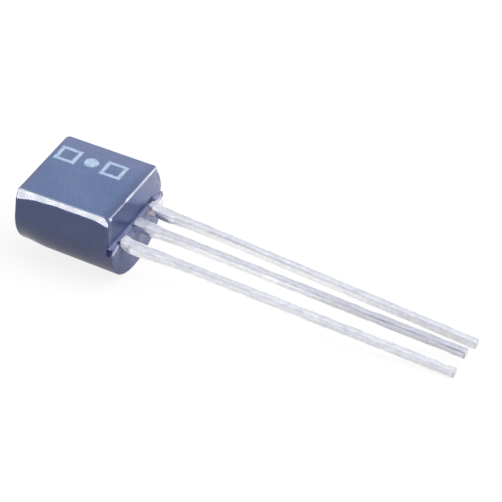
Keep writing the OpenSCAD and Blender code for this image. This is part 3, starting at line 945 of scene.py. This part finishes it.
def tin():
    s = Sheet("tin_plate")
    normal = s.normal()
    middle, past_root = on_middle_lead(s), s.ramp(s.x, 2.45, 3.0)
    shade = plate_colour(s, middle)
    shade = side_sheen_and_shade(s, shade, normal, middle, past_root)
    shade = wear_and_shade(s, shade, normal, middle, past_root)
    shade = far_root(s, shade, normal)
    shade = cut_ends(s, shade, normal)
    bleed, pits = resin_bleed(s, normal), in_voids(s)
    # The resin on the leads' sides is painted much paler than on top: painted light against its
    # shade.
    shade = s.blend(bleed, shade, s.blend(s.ramp(normal[2], 0.5, 0.8), BLEED_SIDE_LIGHTENED, BLEED_TOP))
    # Painted shade in the voids beside the lead roots.
    shade = s.blend(s.times(pits, 0.9), shade, LEAD_PIT_SHADE)
    rough = s.ramp(s.noise(5.0, 3.0, 3.0, (0.3, 1, 1)), 0.3, 0.7, 0.56, 0.72)
    s.set(Base_Color=shade, Metallic=s.less(1.0, s.most(bleed, pits)), Roughness=rough)
    s.bump(s.noise(11.0, 3.0, 2.0, (0.35, 1, 1)), 0.0035)
    return s.material


# ---- what is sealed in the case ----

def bond():
    s = Sheet("silver_bond")
    shade = s.blend(s.noise(30.0, 3.0), (0.42, 0.43, 0.46), (0.62, 0.63, 0.66))
    s.set(Base_Color=shade, Roughness=s.ramp(s.noise(20.0), 0.3, 0.7, 0.5, 0.7))
    return s.material


def silicon():
    s = Sheet("silicon")
    cells = 8.0  # a millimetre
    grid = s.least(*(s.away(s.calc("FRACT", s.times(v, cells)), 0.5) for v in (s.x, s.y)))
    shade = s.blend(s.ramp(grid, 0.04, 0.08), (0.35, 0.3, 0.38), (0.1, 0.11, 0.16))
    s.set(Base_Color=shade, Roughness=s.ramp(s.noise(12.0), 0.3, 0.7, 0.12, 0.25))
    return s.material


def gold():
    s = Sheet("gold_wire")
    shade = s.blend(s.noise(40.0, 2.0), (0.8, 0.56, 0.2), (0.95, 0.72, 0.32))
    s.set(Base_Color=shade, Metallic=1.0, Roughness=s.ramp(s.noise(25.0), 0.3, 0.7, 0.2, 0.35))
    return s.material


# ---- stage, light and camera ----

FLOOR_HALF = 0.6  # metres
FLOOR_COLOUR, FLOOR_GLOW = (0.17, 0.15, 0.155), 0.9
SHADOW_REACH = 3 * MM
SHADOW_SEEN, SHADOW_MIRRORED = 0.94, 0.35  # the floor's level right under the part, of 1
SKY_COLOUR, SKY_LEVEL = (0.9, 0.95, 1.0), 0.26
LAMP_AIM = (-0.006, 0, 0.002)  # metres
# The photo's camera: angles, the picture's centre right of the case's middle and above it, and
# the distance, in millimetres.
PHOTO_AZIMUTH, PHOTO_ELEVATION = math.radians(26.51), math.radians(36.05)
PHOTO_RIGHT, PHOTO_UP, PHOTO_DISTANCE = 6.42, 0.006, 180.0
PHOTO_PIXELS, PIXELS_PER_MM, SENSOR = 502, 25.29, 36.0


def shown(tree, path):
    """1 for the rays that show the white background: camera, glossy and transmission rays."""
    mirrored = calc(tree, "MAXIMUM", path.outputs["Is Camera Ray"], path.outputs["Is Glossy Ray"])
    return calc(tree, "MAXIMUM", mirrored, path.outputs["Is Transmission Ray"])


def white_glow(tree):
    """Strength of the floor's white, with the part's contact shadow, faint for the camera."""
    path = tree.nodes.new("ShaderNodeLightPath")
    near = tree.nodes.new("ShaderNodeAmbientOcclusion")
    near.inputs["Distance"].default_value = SHADOW_REACH
    shade = tree.nodes.new("ShaderNodeMix")
    tree.links.new(path.outputs["Is Camera Ray"], shade.inputs[0])
    for socket, darkest in ((shade.inputs[2], SHADOW_MIRRORED), (shade.inputs[3], SHADOW_SEEN)):
        level = tree.nodes.new("ShaderNodeMapRange")
        level.inputs["To Min"].default_value = darkest
        tree.links.new(near.outputs["AO"], level.inputs["Value"])
        tree.links.new(level.outputs[0], socket)
    level = calc(tree, "MULTIPLY", shade.outputs[0], FLOOR_GLOW)
    return calc(tree, "MULTIPLY", shown(tree, path), level)


def floor():
    """A plane that looks white and takes the lamps' light as a grey floor would."""
    mesh = bpy.data.meshes.new("floor")
    r = FLOOR_HALF
    mesh.from_pydata([(-r, -r, 0), (r, -r, 0), (r, r, 0), (-r, r, 0)], [], [(0, 1, 2, 3)])
    o = add_object("floor", mesh)
    m = bpy.data.materials.new("floor")
    m.use_nodes = True
    nodes, links = m.node_tree.nodes, m.node_tree.links
    nodes.clear()
    out = nodes.new("ShaderNodeOutputMaterial")
    diffuse = nodes.new("ShaderNodeBsdfDiffuse")
    feed(m.node_tree, diffuse.inputs["Color"], FLOOR_COLOUR)
    glow = nodes.new("ShaderNodeEmission")
    add = nodes.new("ShaderNodeAddShader")
    links.new(white_glow(m.node_tree), glow.inputs["Strength"])
    links.new(diffuse.outputs[0], add.inputs[0])
    links.new(glow.outputs[0], add.inputs[1])
    links.new(add.outputs[0], out.inputs[0])
    m.cycles.emission_sampling = "NONE"  # the white is to be seen and doesn't light the part
    mesh.materials.append(m)


def world():
    """Soft light from all round, and the white background for the rays that show it."""
    w = bpy.data.worlds.new("studio")
    bpy.context.scene.world = w
    w.use_nodes = True
    nodes, links = w.node_tree.nodes, w.node_tree.links
    nodes.clear()
    out = nodes.new("ShaderNodeOutputWorld")
    soft = nodes.new("ShaderNodeBackground")
    feed(w.node_tree, soft.inputs["Color"], SKY_COLOUR)
    soft.inputs["Strength"].default_value = SKY_LEVEL
    white = nodes.new("ShaderNodeBackground")
    mix = nodes.new("ShaderNodeMixShader")
    links.new(shown(w.node_tree, nodes.new("ShaderNodeLightPath")), mix.inputs[0])
    links.new(soft.outputs[0], mix.inputs[1])
    links.new(white.outputs[0], mix.inputs[2])
    links.new(mix.outputs[0], out.inputs[0])
    w.cycles.sampling_method = "NONE"


def lamp(name, direction, width, height, strength, distance=0.25, color=(1, 1, 1)):
    """An area lamp in that direction from the part. strength is its radiance: 1 looks white."""
    light = bpy.data.lights.new(name, "AREA")
    light.shape = "RECTANGLE"
    light.size, light.size_y = width, height
    light.energy = strength * math.pi * width * height
    light.color = color
    o = add_object(name, light)
    d = Vector(direction).normalized()
    o.location = Vector(LAMP_AIM) + d * distance
    o.rotation_euler = d.to_track_quat("Z", "Y").to_euler()


def camera():
    az, el = PHOTO_AZIMUTH, PHOTO_ELEVATION
    right = Vector((math.cos(az), math.sin(az), 0))
    back = Vector((math.sin(az) * math.cos(el), -math.cos(az) * math.cos(el), math.sin(el)))
    up = back.cross(right)
    target = (right * PHOTO_RIGHT + up * PHOTO_UP + Vector((REST_SHIFT, 0, 0))) * MM
    data = bpy.data.cameras.new("camera")
    data.sensor_width = SENSOR
    data.lens = SENSOR * PIXELS_PER_MM * PHOTO_DISTANCE / PHOTO_PIXELS
    data.clip_start, data.clip_end = 0.005, 5.0
    o = add_object("camera", data)
    o.location = target + back * (PHOTO_DISTANCE * MM)
    o.rotation_mode = "QUATERNION"
    o.rotation_quaternion = back.to_track_quat("Z", "Y")
    bpy.context.scene.camera = o


# ---- the scene ----

case_shell = make_case()
emitter = make_lead("emitter_wire_lead", "emitter_lead", -PITCH, EMITTER_PAD, droop=3.7, splay=1.3,
                    lift=0.0, swell=0.11, slim=0.05, seed=11)
base = make_lead("base_wire_lead", "base_lead", 0, BASE_PAD, droop=2.5, splay=0.0,
                 lift=0.05, swell=0.05, slim=0.01, seed=23)
collector = make_lead("collector_wire_lead", "collector_lead", PITCH, DIE_PAD, droop=3.7,
                      splay=-0.7, lift=0.0, swell=0.08, slim=0.05, seed=37)

case_shell.data.materials.append(epoxy())
tin_plate, gold_wire = tin(), gold()
for lead in (emitter, base, collector):
    lead.data.materials.append(tin_plate)
for node, material in (("die_attach", bond()), ("die", silicon()), ("base_wire", gold_wire),
                       ("emitter_wire", gold_wire)):
    piece = frame["nodes"][node]
    piece.data.materials.clear()
    piece.data.materials.append(material)

floor()
world()
camera()
lamp("top", (0.7, 0.0, 1.0), 0.26, 0.26, strength=4.0, distance=0.3, color=(0.97, 0.985, 1.0))
lamp("bevel_strip", (-0.363, -0.929, 0.068), 0.034, 0.024, strength=26.0)
lamp("edge", (0.58, 0.73, 0.36), 0.06, 0.04, strength=10.0, color=(0.9, 0.95, 1.0))
bpy.context.scene.view_settings.view_transform = "Standard"
